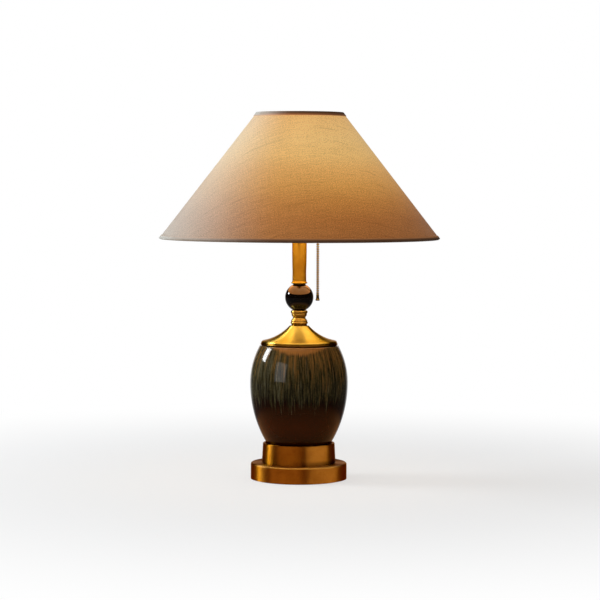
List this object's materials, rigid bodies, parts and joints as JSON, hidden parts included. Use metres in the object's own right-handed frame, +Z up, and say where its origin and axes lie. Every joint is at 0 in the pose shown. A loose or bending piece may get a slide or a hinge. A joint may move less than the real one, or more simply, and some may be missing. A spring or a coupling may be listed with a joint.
{
  "type": "table lamp",
  "caption": "Ceramic table lamp with a brass base and cap, a black ball, a slender neck, a conical fabric shade on a harp, and a bead pull chain.",
  "frame": {"origin": "middle of the felt pad's underside, on the table", "axes": "+Z up along the lamp's pipe, +X towards the pull chain, +Y towards the cord outlet at the rear"},
  "size_m": [0.4201, 0.42, 0.5498],
  "materials": {
    "felt": "matt wool felt",
    "iron": "as cast, black",
    "antique_brass": "brushed and aged",
    "rubber": "matt",
    "terminal_plastic": "moulded",
    "terminal_brass": "plain",
    "steel": "zinc plated",
    "glaze": "glossy dripped glaze",
    "cap_brass": "polished",
    "ball_glaze": "glossy black",
    "neck_brass": "satin, lacquered",
    "saddle_brass": "plain",
    "holder_brass": "brushed",
    "cardboard": "fibre sleeve",
    "switch_plastic": "phenolic",
    "lead_plastic": "insulated wire",
    "chain_brass": "plated",
    "bulb_metal": "nickel plated",
    "bulb_black": "glassy black",
    "frosted_glass": "frosted",
    "filament": "light source",
    "shade_cloth": "slubbed linen",
    "shade_lining": "pale liner",
    "trim_tape": "folded dark tape",
    "shade_frame": "plated wire",
    "finial_brass": "polished"
  },
  "bodies": {
    "root": {"felt_pad": "felt", "base_weight": "iron", "base_shell": "antique_brass", "cord_grommet": "rubber", "terminal_block": "terminal_plastic", "terminal_tubes": "terminal_brass", "terminal_screws": "terminal_brass", "lamp_pipe": "steel", "flat_washer": "steel", "lock_washer": "steel", "pipe_nut": "steel", "plinth": "antique_brass", "jar_seat": "rubber", "jar": "glaze", "cap_gasket": "rubber", "vase_cap": "cap_brass", "spool": "cap_brass", "ball": "ball_glaze", "neck_collar": "neck_brass", "neck_tube": "neck_brass", "check_ring": "neck_brass", "harp_saddle": "saddle_brass", "holder_cap": "holder_brass", "holder_shell": "holder_brass", "shell_liner": "cardboard", "switch_body": "switch_plastic", "drum_pin": "steel", "return_spring": "steel", "terminal_posts": "terminal_brass", "screw_shell": "terminal_brass", "centre_contact": "terminal_brass", "inner_leads": "lead_plastic", "chain_guide": "holder_brass"},
    "switch_drum": {"switch_drum": "switch_plastic"},
    "chain_top": {"chain_top": "chain_brass"},
    "chain_swivel": {"chain_swivel": "chain_brass"},
    "pull_chain": {"pull_chain": "chain_brass", "chain_pendant": "chain_brass"},
    "bulb_foot": {"bulb_tip": "bulb_metal", "bulb_insulator": "bulb_black"},
    "bulb": {"bulb_cap": "bulb_metal", "bulb_glass": "frosted_glass", "bulb_filament": "filament"},
    "harp": {"harp": "saddle_brass", "harp_stud": "saddle_brass"},
    "sleeve_rear": {"harp_sleeve_rear": "saddle_brass"},
    "sleeve_front": {"harp_sleeve_front": "saddle_brass"},
    "shade": {"shade_spider": "shade_frame", "shade_top_ring": "shade_frame", "shade_bottom_ring": "shade_frame", "shade_fabric": "shade_cloth", "shade_liner": "shade_lining", "top_trim": "trim_tape", "bottom_trim": "trim_tape", "seam_strip": "shade_cloth"},
    "finial": {"finial": "finial_brass"}
  },
  "joints": [
    {"name": "chain_pull", "type": "slide", "parent": "root", "child": "chain_top", "axis": [0, 0, -1], "range_m": [0, 0.01], "stiffness_N_per_m": 160, "springref_m": -0.008},
    {"name": "chain_swing_side", "type": "hinge", "parent": "chain_top", "child": "chain_swivel", "pos_m": [0.0275, 0, 0.37348], "axis": [1, 0, 0], "range_deg": [-25, 25]},
    {"name": "chain_swing_out", "type": "hinge", "parent": "chain_swivel", "child": "pull_chain", "pos_m": [0.0275, 0, 0.37348], "axis": [0, -1, 0], "range_deg": [-1, 30]},
    {"name": "switch_drum_turn", "type": "hinge", "parent": "root", "child": "switch_drum", "pos_m": [0.003, 0, 0.38447], "axis": [0, 1, 0], "range_deg": [0, 100]},
    {"name": "bulb_rise", "type": "slide", "parent": "root", "child": "bulb_foot", "axis": [0, 0, 1], "range_m": [0, 0.0182]},
    {"name": "bulb_turn", "type": "hinge", "parent": "bulb_foot", "child": "bulb", "pos_m": [0, 0, 0.4041], "axis": [0, 0, 1], "range_deg": [0, 1800]},
    {"name": "harp_lift", "type": "slide", "parent": "root", "child": "harp", "axis": [0, 0, 1], "range_m": [0, 0.15]},
    {"name": "sleeve_rear_lift", "type": "slide", "parent": "harp", "child": "sleeve_rear", "axis": [0, 0, 1], "range_m": [0, 0.01]},
    {"name": "sleeve_front_lift", "type": "slide", "parent": "harp", "child": "sleeve_front", "axis": [0, 0, 1], "range_m": [0, 0.01]},
    {"name": "shade_turn", "type": "hinge", "parent": "harp", "child": "shade", "pos_m": [0, 0, 0.5211], "axis": [0, 0, 1], "continuous": true},
    {"name": "finial_turn", "type": "hinge", "parent": "harp", "child": "finial", "pos_m": [0, 0, 0.5341], "axis": [0, 0, 1], "continuous": true}
  ],
  "couplings": [
    {"joint": "switch_drum_turn", "follows": "chain_pull", "rad_per_m": 157.07},
    {"joint": "bulb_rise", "follows": "bulb_turn", "m_per_rad": 0.00057757}
  ]
}
